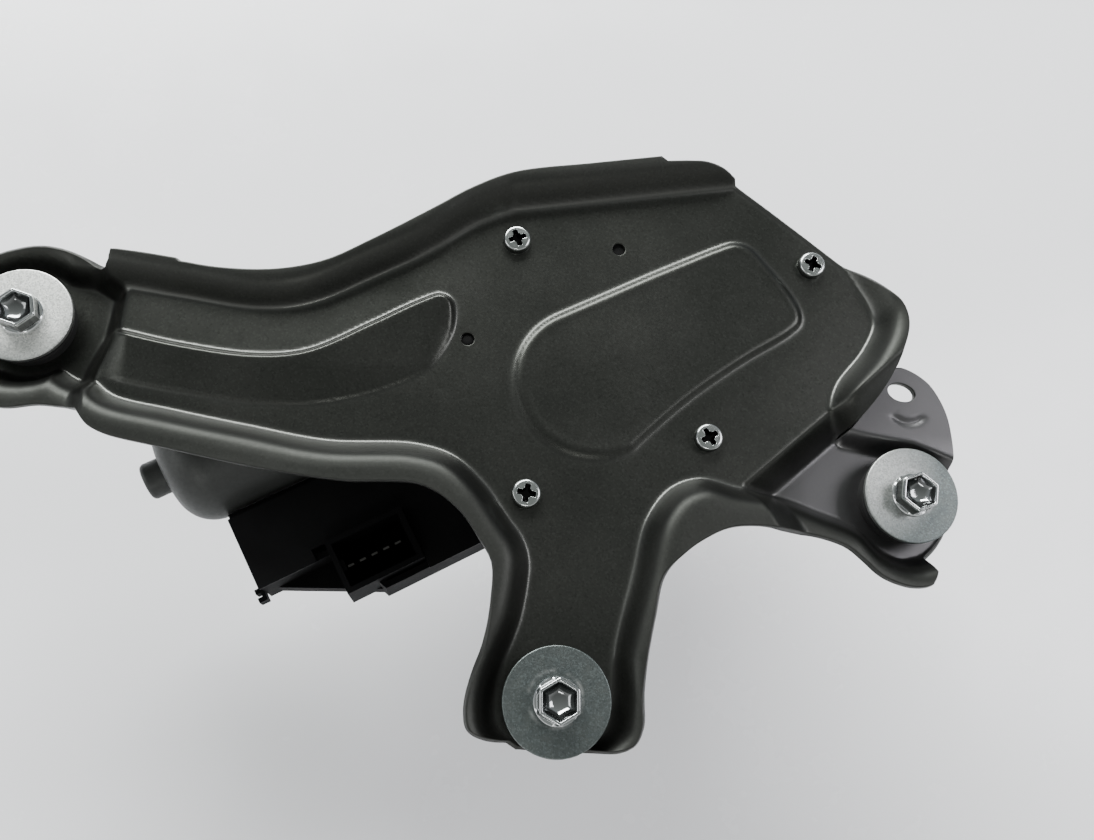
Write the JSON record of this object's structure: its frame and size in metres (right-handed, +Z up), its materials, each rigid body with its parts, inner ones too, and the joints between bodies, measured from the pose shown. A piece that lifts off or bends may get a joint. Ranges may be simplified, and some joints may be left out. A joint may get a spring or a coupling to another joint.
{
  "type": "windshield wiper assembly",
  "caption": "Rear wiper motor unit on a pressed steel bracket: worm drive, crank linkage and oscillating spindle, rubber-mounted ears and a side connector box.",
  "frame": {"origin": "on the output spindle's axis, at the middle of its straight seat for the wiper arm", "axes": "+Z up along the spindle, from its threaded tip towards the bracket's outer face; +X along the unit's length from the left arm to the right ear; +Y from the bottom ear to the top flange"},
  "size_m": [0.2877, 0.1692, 0.1118],
  "materials": {
    "bracket_steel": "dark satin pressed steel with worn light edges",
    "bright_zinc": "bright zinc plate",
    "washer_zinc": "bluish zinc plate with a fine speckle",
    "die_cast_alloy": "as-cast aluminium",
    "can_steel": "dull zinc-coated deep-drawn steel",
    "ferrite": "dark ceramic ferrite",
    "sintered_bronze": "oiled sintered bronze",
    "black_plastic": "moulded black glass-filled plastic",
    "box_lid_plastic": "moulded black plastic lid",
    "brown_plastic": "brown phenolic",
    "board_plastic": "green board",
    "carbon": "pressed copper-graphite",
    "spring_steel": "dark spring steel",
    "shaft_steel": "ground steel",
    "lamination_steel": "stacked laminations",
    "copper_wire": "enamelled copper wire",
    "copper_bar": "copper bars",
    "wheel_plastic": "natural acetal",
    "pressed_link_steel": "stamped steel",
    "sintered_steel": "sintered steel",
    "tinned_brass": "tinned brass",
    "black_rubber": "black rubber"
  },
  "bodies": {
    "frame": {"bracket": "bracket_steel", "lid_screws": "bright_zinc", "locating_dowel": "bracket_steel", "gear_housing": "die_cast_alloy", "grommet_bottom": "black_rubber", "collar_bottom": "washer_zinc", "grommet_right": "black_rubber", "collar_right": "washer_zinc", "grommet_left": "black_rubber", "collar_left": "washer_zinc", "ear_washers": "washer_zinc", "ear_bolts": "bright_zinc", "motor_can": "can_steel", "yoke_screws": "bright_zinc", "magnets": "ferrite", "rear_bearing": "sintered_bronze", "front_bearing": "sintered_bronze", "thrust_plug": "black_plastic", "brush_holder": "brown_plastic", "carbon_brushes": "carbon", "brush_springs": "spring_steel", "wheel_axle": "shaft_steel", "axle_clip": "spring_steel", "upper_bush": "sintered_bronze", "lower_bush": "sintered_bronze", "spindle_seal": "black_rubber", "thrust_washer": "shaft_steel", "body_grommet": "black_rubber", "connector_housing": "black_plastic", "connector_cover": "box_lid_plastic", "contact_board": "board_plastic", "connector_blades": "tinned_brass"},
    "armature": {"armature_shaft": "shaft_steel", "armature_core": "lamination_steel", "armature_windings": "copper_wire", "commutator": "copper_bar"},
    "wheel": {"worm_wheel": "wheel_plastic", "crank_pin": "shaft_steel"},
    "link": {"holder_link": "pressed_link_steel", "sector_pin": "shaft_steel"},
    "rod": {"sector_rod": "sintered_steel"},
    "spindle": {"output_spindle": "shaft_steel", "seat_washer": "washer_zinc", "retaining_ring": "spring_steel"}
  },
  "joints": [
    {"name": "armature_spin", "type": "hinge", "parent": "frame", "child": "armature", "pos_m": [-0.1648, -0.0482, 0.042], "axis": [0.887, 0.4617, 0], "range_deg": [0, 10661.4]},
    {"name": "wheel_turn", "type": "hinge", "parent": "frame", "child": "wheel", "pos_m": [-0.0448, -0.0252, 0.042], "axis": [0, 0, 1], "range_deg": [0, 177.7]},
    {"name": "link_swing", "type": "hinge", "parent": "frame", "child": "link", "pos_m": [0, 0, 0.065], "axis": [0, 0, 1], "range_deg": [0, 50.65]},
    {"name": "rod_swing", "type": "hinge", "parent": "link", "child": "rod", "pos_m": [-0.01709, 0.02234, 0.06], "axis": [0, 0, 1], "range_deg": [-52.96, 0]},
    {"name": "spindle_turn", "type": "hinge", "parent": "frame", "child": "spindle", "pos_m": [0, 0, 0.042], "axis": [0, 0, 1], "range_deg": [0, 156.55]}
  ],
  "couplings": [
    {"joint": "wheel_turn", "follows": "armature_spin", "ratio": 0.016667},
    {"joint": "link_swing", "follows": "armature_spin", "ratio": 0.0047501},
    {"joint": "rod_swing", "follows": "armature_spin", "ratio": -0.0049667},
    {"joint": "spindle_turn", "follows": "armature_spin", "ratio": 0.014683}
  ]
}
